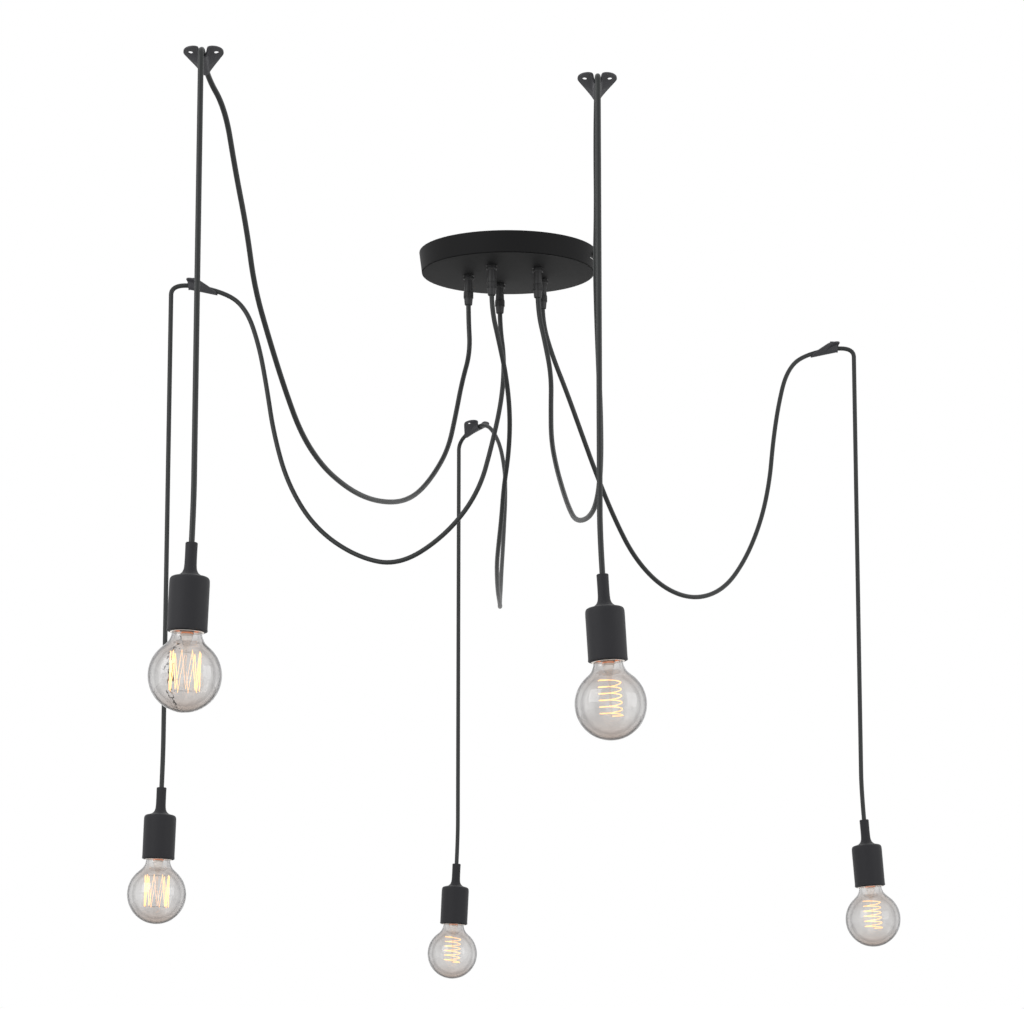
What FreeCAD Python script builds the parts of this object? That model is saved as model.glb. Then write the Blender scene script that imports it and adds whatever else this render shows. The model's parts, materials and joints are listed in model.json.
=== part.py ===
import FreeCAD, Part
import math, os

# A five-lamp spider pendant light. A round canopy sits on the ceiling, and five cords leave it
# through cord grips, swag across to five ceiling hooks and drop to lampholders with globe bulbs.
# Millimetres. The origin is the centre of the ceiling bracket's flat top face, +Z points up,
# and the ceiling is the plane Z = 0, so everything hangs below it.

Vec = FreeCAD.Vector
UP = Vec(0, 0, 1)
CUT_OVER = 5.0                 # how far every cutting tool runs past what it cuts
FIT_GAP = 0.3                  # running clearance between pieces that fit together
SAME_POINT = 0.001             # two points nearer than this are one

# Canopy cover
COVER_RADIUS = 120.0
COVER_HEIGHT = 32.0
COVER_WALL = 1.2
COVER_CORNER = 4.0

# Ceiling bracket, its ears and the two side screws that hold the cover to it
BRACKET_WIDTH = 24.0
BRACKET_THICK = 2.0
BRACKET_TURN = 345.0           # degrees, the line through both side screws
EAR_DEPTH = 17.0
FIXING_PITCH = 70.0
FIXING_HOLE = 5.2
CABLE_HOLE = 16.0
SCREW_DROP = 9.0
SCREW_SHANK = 4.0
SCREW_CLEARANCE = 0.4
SCREW_LENGTH = 8.0
SCREW_HEAD = 7.0
SCREW_HEAD_HIGH = 2.4
SCREW_SLOT = 1.0

# Terminal block under the bracket
BLOCK_LENGTH = 34.0
BLOCK_WIDTH = 17.0
BLOCK_HEIGHT = 13.0
BLOCK_POLES = 3
BLOCK_OFFSET = 50.0
BLOCK_BORE = 4.2
BLOCK_SCREW_DEEP = 6.0
BLOCK_WELL = 4.4
BLOCK_WELL_SPREAD = 9.0

# Cord grips on their ring of holes
GRIP_COUNT = 5
GRIP_RING = 54.0
GRIP_FIRST_ANGLE = 30.0        # degrees, the hole of cord 5
GRIP_STEM = 10.0
GRIP_STEM_RISE = 6.5
GRIP_FLANGE = 14.0
GRIP_FLANGE_HIGH = 4.0
GRIP_BARREL = 11.0
GRIP_BODY_LOW = 29.0
GRIP_NUT = 12.6
GRIP_NUT_TOP = 21.0
GRIP_NUT_STRAIGHT = 9.0
GRIP_NUT_END = 8.8
GRIP_LENGTH = 39.0
GRIP_SPIGOT = 9.0
GRIP_RIB = 1.0
GRIP_RIBS = 8
GRIP_WIRE_BORE = 3.4
LOCKNUT_FLATS = 14.0
LOCKNUT_HIGH = 3.0

# Cords
CORD = 6.5
TUBE_ARC_SHARE = 0.45
CORD_BORE = CORD + 2 * FIT_GAP
CORD_EXIT_RUN = 29.0           # straight out of the grip, from its seat inside

# Ceiling hooks: heart-shaped plates folded to a V along the cord, with the tip hanging lower
HOOK_TILT = 12.0               # degrees
HOOK_NOTCH_AT = 18.0           # from the middle, where the plate's tilt turns about the cord
HOOK_HALF_WIDTH = 22.5
HOOK_RISE = 11.0
HOOK_PLATE = 2.0
HOOK_FOLD = 5.0
HOOK_LOBE = 12.0
HOOK_LOBE_AT = 10.5
HOOK_TIP = 4.5
HOOK_TIP_AT = -17.5
HOOK_NOTCH_ROUND = 3.0
HOOK_HOLE = 5.0
HOOK_HOLE_PITCH = 29.0
HOOK_HOLE_AT = 9.0
HOOK_BOSS = 11.0
HOOK_SPOT = 8.4
HOOK_SPOT_SEAT = 7.4
HOOK_REACH = 43.0              # from the hook's middle to the hanging cord
SWAG_REACH = 34.0              # from the hook's middle back to where the swag bends down

# Bulb, measured from the mouth of the lampholder
CAP_RADIUS = 13.2
CAP_WALL = 0.5
CAP_INSET = 6.4
CAP_HEIGHT = 20.5
CAP_CONE = 3.0
CAP_CONE_RADIUS = 8.0
CONTACT_RADIUS = 5.0
CONTACT_HIGH = 2.5
GLOBE_RADIUS = 40.0
GLOBE_DROP = 47.5
GLASS_WALL = 1.0
GLASS_STEP = 3.1               # from the cap out to the glass neck
GLASS_NECK = CAP_RADIUS + GLASS_STEP
GLASS_NECK_ROUND = 5.0
STEM_RADIUS = 7.5
STEM_FLARE = 9.5
STEM_LENGTH = 26.0
STEM_PINCH = 2.6
ROD_RADIUS = 1.3
ROD_LENGTH = 42.0
WIRE = 0.7
CAGE_WIDTH = 35.0
CAGE_HEIGHT = 42.3
CAGE_POINTS = 9
COIL_WIDTH = 27.0
COIL_HEIGHT = 42.0
COIL_TURNS = 5
FILAMENTS = {1: "cage", 2: "cage", 3: "coil", 4: "coil", 5: "coil"}

# Lampholder, measured down from the top of its neck. Its mouth is as wide as the bulb needs, and
# down to there the core, the contacts and the bulb's cap follow each other
NECK_RADIUS = 7.2
NECK_LENGTH = 26.0
NECK_CHAMFER = 0.8
FLARE_RADIUS = 10.5
FLARE_END = 35.0
SHOULDER_DEPTH = 41.0
SHOULDER_ROUND = 2.5
CORD_SEAT = 12.0
NIPPLE_RADIUS = 5.0
CORE_TOP = 44.0
CORE_CHAMFER = 2.6
CORE_BLOCK = 20.3              # solid insulator over the contacts
CORE_RECESS = 5.5              # from the sleeve's mouth up to the core's foot
CORE_STEP = 1.5                # from the skirt out to the core
SHELL_WALL = 0.5
TONGUE_RADIUS = 6.0
TONGUE_THICK = 1.0
SKIRT_WALL = 0.7
SKIRT_LIFT = 0.4
SKIRT_GAP = 0.7                # round the glass neck
SKIRT_RADIUS = GLASS_NECK + SKIRT_GAP + SKIRT_WALL
MOUTH_RADIUS = SKIRT_RADIUS + FIT_GAP
CORE_RADIUS = SKIRT_RADIUS + CORE_STEP
SHOULDER_WALL = 2.6
FOOT_WALL = 3.7
LIP_WALL = 2.4
LIP_HEIGHT = 5.0
SLEEVE_LENGTH = (CORE_TOP + CORE_BLOCK + TONGUE_THICK + FIT_GAP
                 + CONTACT_HIGH + CAP_CONE + CAP_HEIGHT + CAP_INSET)

# Plan places of the hooks and depths of the lampholders' necks, as shares of one layout length
LAYOUT = 1000.0
HOOK_PLACE_SHARES = {
    1: (-0.340, -0.903),
    2: (-0.428, 0.151),
    3: (-0.058, 1.115),
    4: (0.103, -0.804),
    5: (0.475, 0.540),
}
NECK_DEPTH_SHARES = {1: 0.568, 2: 0.712, 3: 0.725, 4: 0.586, 5: 0.716}

# Degrees: the way each cord leaves its hook towards the lamp, and how far each lamp leans
HOOK_TURNS = {1: 270.0, 2: 180.0, 3: 125.0, 4: 270.0, 5: 0.0}
LAMP_LEANS = {1: -2.0, 2: -1.7, 3: -2.6, 4: 3.4, 5: 4.2}
NOTCH_FACES = {1: "lamp", 2: "lamp", 3: "swag", 4: "lamp", 5: "lamp"}
CORDS_ROUND_RING = "52134"     # the cords in the order of their holes, from the first angle on

# The free hanging part of each swag, from below its grip to beside its hook, chosen by hand
SWAGS = {
    1: [(-51, 3, -137), (-62, -15, -183), (-70, -42, -235), (-79, -79, -288), (-97, -126, -332),
        (-116, -184, -368), (-135, -248, -391), (-157, -314, -404), (-179, -381, -410),
        (-201, -449, -408), (-224, -516, -397), (-245, -578, -372), (-261, -633, -332),
        (-277, -682, -283), (-293, -723, -228), (-300, -757, -169), (-312, -792, -106),
        (-321, -832, -46)],
    2: [(-5, 54, -135), (-8, 55, -189), (-21, 58, -251), (-40, 63, -320), (-85, 74, -377),
        (-148, 87, -416), (-206, 103, -402), (-264, 117, -360), (-303, 125, -297),
        (-324, 131, -224), (-335, 136, -155), (-347, 142, -94), (-365, 147, -43)],
    3: [(-12, -40, -133), (-2, -18, -177), (3, 18, -222), (1, 60, -266), (-6, 108, -304),
        (-9, 160, -335), (-13, 218, -360), (-16, 281, -378), (-16, 348, -390), (-15, 418, -398),
        (-13, 488, -400), (-12, 558, -397), (-13, 627, -386), (-13, 694, -366), (-12, 757, -337),
        (-11, 815, -300), (-9, 869, -256), (-7, 917, -207), (-5, 961, -154), (-6, 1001, -101),
        (-16, 1044, -43)],
    4: [(50, -40, -135), (58, -53, -183), (57, -77, -233), (57, -113, -283), (63, -159, -328),
        (70, -214, -367), (77, -275, -403), (85, -338, -433), (100, -405, -442),
        (109, -472, -434), (112, -530, -404), (111, -580, -359), (108, -621, -306),
        (105, -656, -249), (103, -686, -190), (104, -712, -130), (103, -737, -69)],
    5: [(60, 33, -135), (80, 48, -183), (99, 69, -232), (120, 96, -285), (145, 135, -339),
        (175, 183, -389), (216, 237, -422), (263, 297, -429), (308, 353, -406),
        (342, 398, -356), (368, 430, -293), (383, 452, -229), (390, 470, -166),
        (400, 488, -106), (414, 508, -51)],
}


# Turns a list of (radius, depth, rounding) into a closed lathe profile and spins it about Z
def lathe(corners):
    places = [Vec(r, 0, z) for r, z, _ in corners]
    arcs, starts, ends = {}, [], []
    for i, (_, _, rounding) in enumerate(corners):
        here, before, after = places[i], places[i - 1], places[(i + 1) % len(corners)]
        first = last = here
        if rounding:
            back, forth = (before - here).normalize(), (after - here).normalize()
            half = back.getAngle(forth) / 2
            reach = rounding / math.tan(half)
            first, last = here + back * reach, here + forth * reach
            middle = here + (back + forth).normalize() * (rounding / math.sin(half) - rounding)
            arcs[i] = Part.Arc(first, middle, last).toShape()
        starts.append(first)
        ends.append(last)
    chain = []
    for i, end in enumerate(ends):
        if i in arcs:
            chain.append(arcs[i])
        following = starts[(i + 1) % len(starts)]
        if end.distanceToPoint(following) > SAME_POINT:
            chain.append(Part.LineSegment(end, following).toShape())
    return Part.Face(Part.Wire(chain)).revolve(Vec(0, 0, 0), UP, 360)


def post(radius, bottom, top, x=0.0, y=0.0):
    return Part.makeCylinder(radius, top - bottom, Vec(x, y, bottom))


def prism(corners, bottom, top):
    places = [Vec(x, y, bottom) for x, y in corners]
    face = Part.Face(Part.makePolygon(places + places[:1]))
    return face.extrude(Vec(0, 0, top - bottom))


def hexagon(flats, bottom, top, x=0.0, y=0.0):
    radius = flats / math.sqrt(3)
    corners = [(x + radius * math.cos(math.radians(60 * i)), y + radius * math.sin(math.radians(60 * i)))
               for i in range(6)]
    return prism(corners, bottom, top)


def turned(shape, degrees, axis=UP):
    shape = shape.copy()
    shape.rotate(Vec(0, 0, 0), axis, degrees)
    return shape


def moved(shape, place):
    shape = shape.copy()
    shape.translate(Vec(*place))
    return shape


# Path of straight runs joined by tangent arcs, each as large as its two runs allow
def route_wire(points, name):
    points = [Vec(*p) for p in points]
    edges = []
    radii = []
    last = points[0]
    for before, here, after in zip(points, points[1:], points[2:]):
        back, forth = before - here, after - here
        reach = TUBE_ARC_SHARE * min(back.Length, forth.Length)
        back.normalize()
        forth.normalize()
        half_turn = (math.pi - back.getAngle(forth)) / 2
        radius = reach / math.tan(half_turn)
        radii.append(radius)
        start, end = here + back * reach, here + forth * reach
        inward = (back + forth).normalize()
        middle = here + inward * (radius / math.cos(half_turn) - radius)
        edges.append(Part.LineSegment(last, start).toShape())
        edges.append(Part.Arc(start, middle, end).toShape())
        last = end
    edges.append(Part.LineSegment(last, points[-1]).toShape())
    wire = Part.Wire(edges)
    print(name, "length", round(wire.Length), "radii", [round(r) for r in radii])
    return wire


def cord_tube(points, name):
    wire = route_wire(points, name)
    start = Vec(*points[0])
    along = (Vec(*points[1]) - start).normalize()
    ring = Part.Wire(Part.Circle(start, along, CORD / 2).toShape())
    tube = wire.makePipeShell([ring], True, False)
    expected = math.pi * (CORD / 2) ** 2 * wire.Length
    print(name, "volume share", round(tube.Volume / expected, 4), "valid", tube.isValid())
    return tube


def canopy_cover():
    inner = COVER_RADIUS - COVER_WALL
    cover = lathe([
        (COVER_RADIUS, 0, 0),
        (COVER_RADIUS, -COVER_HEIGHT, COVER_CORNER),
        (0, -COVER_HEIGHT, 0),
        (0, COVER_WALL - COVER_HEIGHT, 0),
        (inner, COVER_WALL - COVER_HEIGHT, COVER_CORNER - COVER_WALL),
        (inner, 0, 0),
    ])
    low, high = -COVER_HEIGHT - CUT_OVER, CUT_OVER - COVER_HEIGHT
    for x, y in grip_places():
        cover = cover.cut(post(GRIP_STEM / 2 + FIT_GAP, low, high, x, y))
    hole = Part.makeCylinder((SCREW_SHANK + SCREW_CLEARANCE) / 2, 2 * (COVER_RADIUS + CUT_OVER),
                             Vec(-COVER_RADIUS - CUT_OVER, 0, -SCREW_DROP), Vec(1, 0, 0))
    return cover.cut(turned(hole, BRACKET_TURN))


def grip_places():
    places = []
    for i in range(GRIP_COUNT):
        angle = math.radians(GRIP_FIRST_ANGLE + 360 / GRIP_COUNT * i)
        places.append((GRIP_RING * math.cos(angle), GRIP_RING * math.sin(angle)))
    return places


def ear_radii():
    outer = COVER_RADIUS - COVER_WALL - FIT_GAP
    return outer - BRACKET_THICK, outer


def ceiling_bracket():
    ear_inner, ear_outer = ear_radii()
    strip = Part.makeBox(2 * ear_outer, BRACKET_WIDTH, BRACKET_THICK,
                         Vec(-ear_outer, -BRACKET_WIDTH / 2, -BRACKET_THICK))
    strip = strip.common(post(ear_outer, -BRACKET_THICK, 0))
    ring = post(ear_outer, -EAR_DEPTH, 0).cut(post(ear_inner, -EAR_DEPTH - CUT_OVER, CUT_OVER))
    ears = ring.common(Part.makeBox(2 * ear_outer, BRACKET_WIDTH, EAR_DEPTH,
                                    Vec(-ear_outer, -BRACKET_WIDTH / 2, -EAR_DEPTH)))
    bracket = strip.fuse(ears).removeSplitter()
    low = -BRACKET_THICK - CUT_OVER
    for side in (-1, 1):
        bracket = bracket.cut(post(FIXING_HOLE / 2, low, CUT_OVER, side * FIXING_PITCH / 2))
    bracket = bracket.cut(post(CABLE_HOLE / 2, low, CUT_OVER))
    hole = Part.makeCylinder((SCREW_SHANK + SCREW_CLEARANCE) / 2, 2 * (COVER_RADIUS + CUT_OVER),
                             Vec(-COVER_RADIUS - CUT_OVER, 0, -SCREW_DROP), Vec(1, 0, 0))
    return turned(bracket.cut(hole), BRACKET_TURN)


def side_screws():
    head = lathe([
        (0, 0, 0),
        (SCREW_HEAD / 2, 0, 0),
        (SCREW_HEAD / 2, SCREW_HEAD_HIGH, SCREW_HEAD_HIGH / 2),
        (0, SCREW_HEAD_HIGH, 0),
    ])
    slot = Part.makeBox(SCREW_HEAD + 2 * CUT_OVER, SCREW_SLOT, SCREW_HEAD_HIGH,
                        Vec(-SCREW_HEAD / 2 - CUT_OVER, -SCREW_SLOT / 2, SCREW_HEAD_HIGH / 2))
    screw = head.cut(slot).fuse(post(SCREW_SHANK / 2, -SCREW_LENGTH, 0)).removeSplitter()
    screw = turned(screw, 90, Vec(0, 1, 0))
    screw = moved(screw, (COVER_RADIUS, 0, -SCREW_DROP))
    return Part.makeCompound([turned(screw, BRACKET_TURN + turn) for turn in (0, 180)])


def pole_places():
    pitch = BLOCK_LENGTH / BLOCK_POLES
    return [BLOCK_OFFSET + pitch * (i - (BLOCK_POLES - 1) / 2) for i in range(BLOCK_POLES)]


def terminal_block():
    top = -BRACKET_THICK
    block = Part.makeBox(BLOCK_LENGTH, BLOCK_WIDTH, BLOCK_HEIGHT,
                         Vec(BLOCK_OFFSET - BLOCK_LENGTH / 2, -BLOCK_WIDTH / 2, top - BLOCK_HEIGHT))
    for x in pole_places():
        mouth = Vec(x, -BLOCK_WIDTH / 2 - CUT_OVER, top - BLOCK_HEIGHT / 2)
        block = block.cut(Part.makeCylinder(BLOCK_BORE / 2, BLOCK_WIDTH + 2 * CUT_OVER, mouth, Vec(0, 1, 0)))
        for side in (-1, 1):
            block = block.cut(post(BLOCK_WELL / 2, top - BLOCK_HEIGHT - CUT_OVER, top - BLOCK_HEIGHT / 2,
                                   x, side * BLOCK_WELL_SPREAD / 2))
    return turned(block, BRACKET_TURN)


def terminal_screws():
    screws = []
    bottom = -BRACKET_THICK - BLOCK_HEIGHT + FIT_GAP
    for x in pole_places():
        for side in (-1, 1):
            y = side * BLOCK_WELL_SPREAD / 2
            screw = post((BLOCK_WELL - 2 * FIT_GAP) / 2, bottom, bottom + BLOCK_SCREW_DEEP, x, y)
            slot = Part.makeBox(BLOCK_WELL, SCREW_SLOT, SCREW_SLOT + CUT_OVER,
                                Vec(x - BLOCK_WELL / 2, y - SCREW_SLOT / 2, bottom - CUT_OVER))
            screws.append(turned(screw.cut(slot), BRACKET_TURN))
    return Part.makeCompound(screws)


def grip_body():
    top = -COVER_HEIGHT
    low = top - GRIP_BODY_LOW
    return lathe([
        (GRIP_WIRE_BORE / 2, low, 0),
        (GRIP_SPIGOT / 2, low, 0),
        (GRIP_SPIGOT / 2, top - GRIP_NUT_TOP, 0),
        (GRIP_BARREL / 2, top - GRIP_NUT_TOP, 0),
        (GRIP_BARREL / 2, top - GRIP_FLANGE_HIGH, 0),
        (GRIP_FLANGE / 2, top - GRIP_FLANGE_HIGH, 0),
        (GRIP_FLANGE / 2, top, 0),
        (GRIP_STEM / 2, top, 0),
        (GRIP_STEM / 2, top + COVER_WALL + GRIP_STEM_RISE, 0),
        (GRIP_WIRE_BORE / 2, top + COVER_WALL + GRIP_STEM_RISE, 0),
    ])


def grip_nut():
    top = -COVER_HEIGHT - GRIP_NUT_TOP - FIT_GAP
    end = -COVER_HEIGHT - GRIP_LENGTH
    nut = lathe([
        (CORD_BORE / 2, end, 0),
        (GRIP_NUT_END / 2, end, 0),
        (GRIP_NUT / 2, top - GRIP_NUT_STRAIGHT, 0),
        (GRIP_NUT / 2, top, 0),
        (GRIP_SPIGOT / 2 + FIT_GAP, top, 0),
        (GRIP_SPIGOT / 2 + FIT_GAP, -COVER_HEIGHT - GRIP_BODY_LOW - FIT_GAP, 0),
        (CORD_BORE / 2, -COVER_HEIGHT - GRIP_BODY_LOW - FIT_GAP, 0),
    ])
    for i in range(GRIP_RIBS):
        angle = math.radians(360 / GRIP_RIBS * i)
        reach = GRIP_NUT / 2 + GRIP_RIB / 2
        groove = post(GRIP_RIB, top - GRIP_NUT_STRAIGHT, top + CUT_OVER,
                      reach * math.cos(angle), reach * math.sin(angle))
        nut = nut.cut(groove)
    return nut


def grip_locknut():
    bottom = COVER_WALL - COVER_HEIGHT
    nut = hexagon(LOCKNUT_FLATS, bottom, bottom + LOCKNUT_HIGH)
    return nut.cut(post(GRIP_STEM / 2 + FIT_GAP, bottom - CUT_OVER, bottom + LOCKNUT_HIGH + CUT_OVER))


def on_grips(shape):
    return Part.makeCompound([moved(shape, (x, y, 0)) for x, y in grip_places()])


# Height of the cord's centre at the hook's notch, where it rests in the groove
def groove_height():
    slope = math.atan2(HOOK_RISE, HOOK_HALF_WIDTH)
    floor = HOOK_FOLD / math.cos(slope) - HOOK_FOLD - HOOK_RISE
    return floor + FIT_GAP + CORD / 2


def heart_outline():
    lobe, tip = Vec(HOOK_HOLE_AT, HOOK_LOBE_AT, 0), Vec(HOOK_TIP_AT, 0, 0)
    gap = lobe - tip
    lean = math.atan2(gap.y, gap.x) + math.acos((HOOK_TIP - HOOK_LOBE) / gap.Length)
    touch = Vec(math.cos(lean), math.sin(lean), 0)
    upper = [tip + touch * HOOK_TIP, lobe + touch * HOOK_LOBE]
    corners = [(p.x, p.y) for p in upper] + [(lobe.x, lobe.y), (lobe.x, -lobe.y)]
    corners += [(p.x, -p.y) for p in reversed(upper)]
    bottom, top = -3 * HOOK_RISE, CUT_OVER
    heart = prism(corners, bottom, top)
    heart = heart.fuse([
        post(HOOK_LOBE, bottom, top, lobe.x, lobe.y),
        post(HOOK_LOBE, bottom, top, lobe.x, -lobe.y),
        post(HOOK_TIP, bottom, top, tip.x, 0),
    ]).removeSplitter()
    notch = lobe.x + math.sqrt(HOOK_LOBE ** 2 - HOOK_LOBE_AT ** 2)
    edges = [e for e in heart.Edges
             if all(abs(v.X - notch) < FIT_GAP and abs(v.Y) < FIT_GAP for v in e.Vertexes)]
    return heart.makeFillet(HOOK_NOTCH_ROUND, edges)


# Leans a piece that lies along X about the cord at the notch, so that the tip's end sinks
def tilted(shape):
    shape = shape.copy()
    shape.rotate(Vec(HOOK_NOTCH_AT, 0, groove_height()), Vec(0, 1, 0), -HOOK_TILT)
    return shape


def hook_plate():
    slope = math.atan2(HOOK_RISE, HOOK_HALF_WIDTH)
    drop = HOOK_PLATE / math.cos(slope)
    length = 2 * HOOK_REACH
    corners = [
        Vec(-HOOK_REACH, -HOOK_HALF_WIDTH, 0),
        Vec(-HOOK_REACH, 0, -HOOK_RISE),
        Vec(-HOOK_REACH, HOOK_HALF_WIDTH, 0),
        Vec(-HOOK_REACH, HOOK_HALF_WIDTH, -drop),
        Vec(-HOOK_REACH, 0, -HOOK_RISE - drop),
        Vec(-HOOK_REACH, -HOOK_HALF_WIDTH, -drop),
    ]
    plate = Part.Face(Part.makePolygon(corners + corners[:1])).extrude(Vec(length, 0, 0))
    inner = [e for e in plate.Edges
             if all(abs(v.Y) < FIT_GAP and abs(v.Z + HOOK_RISE) < FIT_GAP for v in e.Vertexes)]
    plate = plate.makeFillet(HOOK_FOLD, inner)
    outer = [e for e in plate.Edges
             if all(abs(v.Y) < FIT_GAP and abs(v.Z + HOOK_RISE + drop) < FIT_GAP for v in e.Vertexes)]
    plate = tilted(plate.makeFillet(HOOK_FOLD + HOOK_PLATE, outer))
    for side in (-1, 1):
        y = side * HOOK_HOLE_PITCH / 2
        boss = post(HOOK_BOSS / 2, -HOOK_RISE, 0, HOOK_HOLE_AT, y)
        below = [Vec(-HOOK_REACH, 0, -HOOK_RISE - drop), Vec(-HOOK_REACH, side * HOOK_HALF_WIDTH, -drop),
                 Vec(-HOOK_REACH, side * HOOK_HALF_WIDTH, -HOOK_RISE - drop - CUT_OVER)]
        under = Part.Face(Part.makePolygon(below + below[:1])).extrude(Vec(length, 0, 0))
        plate = plate.fuse(boss.cut(tilted(under)))
    plate = plate.removeSplitter().common(heart_outline())
    for side in (-1, 1):
        y = side * HOOK_HOLE_PITCH / 2
        plate = plate.cut(post(HOOK_SPOT / 2, -HOOK_RISE - CUT_OVER, -HOOK_SPOT_SEAT, HOOK_HOLE_AT, y))
        plate = plate.cut(post(HOOK_HOLE / 2, -HOOK_RISE - CUT_OVER, CUT_OVER, HOOK_HOLE_AT, y))
    return plate


def hook(plate, number):
    plate = turned(plate, HOOK_TURNS[number] + (180 if NOTCH_FACES[number] == "swag" else 0))
    x, y = HOOK_PLACE_SHARES[number]
    return moved(plate, (x * LAYOUT, y * LAYOUT, 0))


# Centre of the cord on the groove's line, at a distance from the hook's middle towards the lamp
def groove_place(number, reach):
    x, y = HOOK_PLACE_SHARES[number]
    angle = math.radians(HOOK_TURNS[number])
    to_notch = -reach if NOTCH_FACES[number] == "swag" else reach
    height = groove_height() + (to_notch - HOOK_NOTCH_AT) * math.tan(math.radians(HOOK_TILT))
    return Vec(x * LAYOUT + reach * math.cos(angle), y * LAYOUT + reach * math.sin(angle), height)


def swag_cord(number):
    x, y = grip_places()[CORDS_ROUND_RING.index(str(number))]
    seat = -COVER_HEIGHT - GRIP_BODY_LOW
    points = [(x, y, seat), (x, y, seat - CORD_EXIT_RUN)] + SWAGS[number]
    points += [tuple(groove_place(number, -SWAG_REACH)), tuple(groove_place(number, 0))]
    return cord_tube(points, "swag_cord_%d" % number)


# The lamp's own frame: top centre of the lampholder's neck, and its axis, which leans a little
def lamp_frame(number):
    lean = math.radians(LAMP_LEANS[number])
    knee = groove_place(number, HOOK_REACH)
    knee.z = HOOK_REACH - NECK_DEPTH_SHARES[number] * LAYOUT
    axis = Vec(math.sin(lean), 0, -math.cos(lean))
    return knee, knee + axis * (HOOK_REACH / math.cos(lean)), axis


def drop_cord(number):
    knee, neck, axis = lamp_frame(number)
    points = [tuple(groove_place(number, 0)), tuple(groove_place(number, HOOK_REACH))]
    points += [tuple(knee), tuple(neck + axis * CORD_SEAT)]
    return cord_tube(points, "drop_cord_%d" % number)


def on_lamp(shape, number):
    _, neck, _ = lamp_frame(number)
    return moved(turned(shape, -LAMP_LEANS[number], Vec(0, 1, 0)), tuple(neck))


def core_foot():
    return CORE_RECESS - SLEEVE_LENGTH


def core_floor():
    return cap_heights()[-1] + FIT_GAP + TONGUE_THICK


def holder_sleeve():
    cavity_top = CORE_TOP - FIT_GAP
    cavity = CORE_RADIUS + FIT_GAP
    return lathe([
        (CORD_BORE / 2, 0, 0),
        (NECK_RADIUS, 0, NECK_CHAMFER),
        (NECK_RADIUS, -NECK_LENGTH, 0),
        (FLARE_RADIUS, -FLARE_END, 0),
        (CORE_RADIUS + SHOULDER_WALL, -SHOULDER_DEPTH, SHOULDER_ROUND),
        (CORE_RADIUS + FOOT_WALL, LIP_HEIGHT - SLEEVE_LENGTH, 0),
        (MOUTH_RADIUS + LIP_WALL, -SLEEVE_LENGTH, 0),
        (MOUTH_RADIUS, -SLEEVE_LENGTH, 0),
        (MOUTH_RADIUS, core_foot() - CORE_RADIUS + SKIRT_RADIUS, 0),
        (cavity, core_foot() - FIT_GAP, 0),
        (cavity, -cavity_top - CORE_CHAMFER, 0),
        (cavity - CORE_CHAMFER, -cavity_top, 0),
        (NIPPLE_RADIUS + FIT_GAP, -cavity_top, 0),
        (NIPPLE_RADIUS + FIT_GAP, FIT_GAP - CORD_SEAT, 0),
        (CORD_BORE / 2, FIT_GAP - CORD_SEAT, 0),
    ])


def holder_core():
    bore = CAP_RADIUS + FIT_GAP + SHELL_WALL + FIT_GAP
    skirt_inner = SKIRT_RADIUS - SKIRT_WALL
    foot = -SLEEVE_LENGTH + SKIRT_LIFT
    return lathe([
        (GRIP_WIRE_BORE / 2, -CORD_SEAT, 0),
        (NIPPLE_RADIUS, -CORD_SEAT, 0),
        (NIPPLE_RADIUS, -CORE_TOP, 0),
        (CORE_RADIUS - CORE_CHAMFER, -CORE_TOP, 0),
        (CORE_RADIUS, -CORE_TOP - CORE_CHAMFER, 0),
        (CORE_RADIUS, core_foot(), 0),
        (SKIRT_RADIUS, core_foot() - CORE_RADIUS + SKIRT_RADIUS, 0),
        (SKIRT_RADIUS, foot, 0),
        (skirt_inner, foot, 0),
        (skirt_inner, core_foot() - CORE_RADIUS + skirt_inner, 0),
        (bore, CAP_INSET - SLEEVE_LENGTH, 0),
        (bore, core_floor(), 0),
        (GRIP_WIRE_BORE / 2, core_floor(), 0),
    ])


# Heights in the lamp's frame that the bulb and the holder's contacts share
def cap_heights():
    edge = CAP_INSET - SLEEVE_LENGTH
    shell_top = edge + CAP_HEIGHT
    cone_top = shell_top + CAP_CONE
    return edge, shell_top, cone_top, cone_top + CONTACT_HIGH


def holder_contacts():
    edge, shell_top, _, tip = cap_heights()
    inner = CAP_RADIUS + FIT_GAP
    shell = lathe([
        (inner, edge + FIT_GAP, 0),
        (inner + SHELL_WALL, edge + FIT_GAP, 0),
        (inner + SHELL_WALL, shell_top, 0),
        (inner, shell_top, 0),
    ])
    tongue_low = tip + FIT_GAP
    tongue = lathe([
        (GRIP_WIRE_BORE / 2, tongue_low, 0),
        (TONGUE_RADIUS, tongue_low, 0),
        (TONGUE_RADIUS, core_floor(), 0),
        (GRIP_WIRE_BORE / 2, core_floor(), 0),
    ])
    return Part.makeCompound([shell, tongue])


def cap_contact():
    _, _, cone_top, tip = cap_heights()
    return lathe([
        (0, cone_top, 0),
        (CONTACT_RADIUS, cone_top, 0),
        (CONTACT_RADIUS, tip, CONTACT_HIGH / 2),
        (0, tip, 0),
    ])


def bulb_cap():
    edge, shell_top, cone_top, _ = cap_heights()
    return lathe([
        (CAP_RADIUS - CAP_WALL, edge, 0),
        (CAP_RADIUS, edge, 0),
        (CAP_RADIUS, shell_top, 0),
        (CAP_CONE_RADIUS, cone_top, 0),
        (0, cone_top, 0),
        (0, cone_top - CAP_WALL, 0),
        (CAP_CONE_RADIUS - CAP_WALL, cone_top - CAP_WALL, 0),
        (CAP_RADIUS - CAP_WALL, shell_top - CAP_WALL, 0),
    ])


def glass_heights():
    edge = cap_heights()[0]
    centre = -SLEEVE_LENGTH - GLOBE_DROP
    press = edge - STEM_LENGTH
    return edge, centre, press


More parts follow.
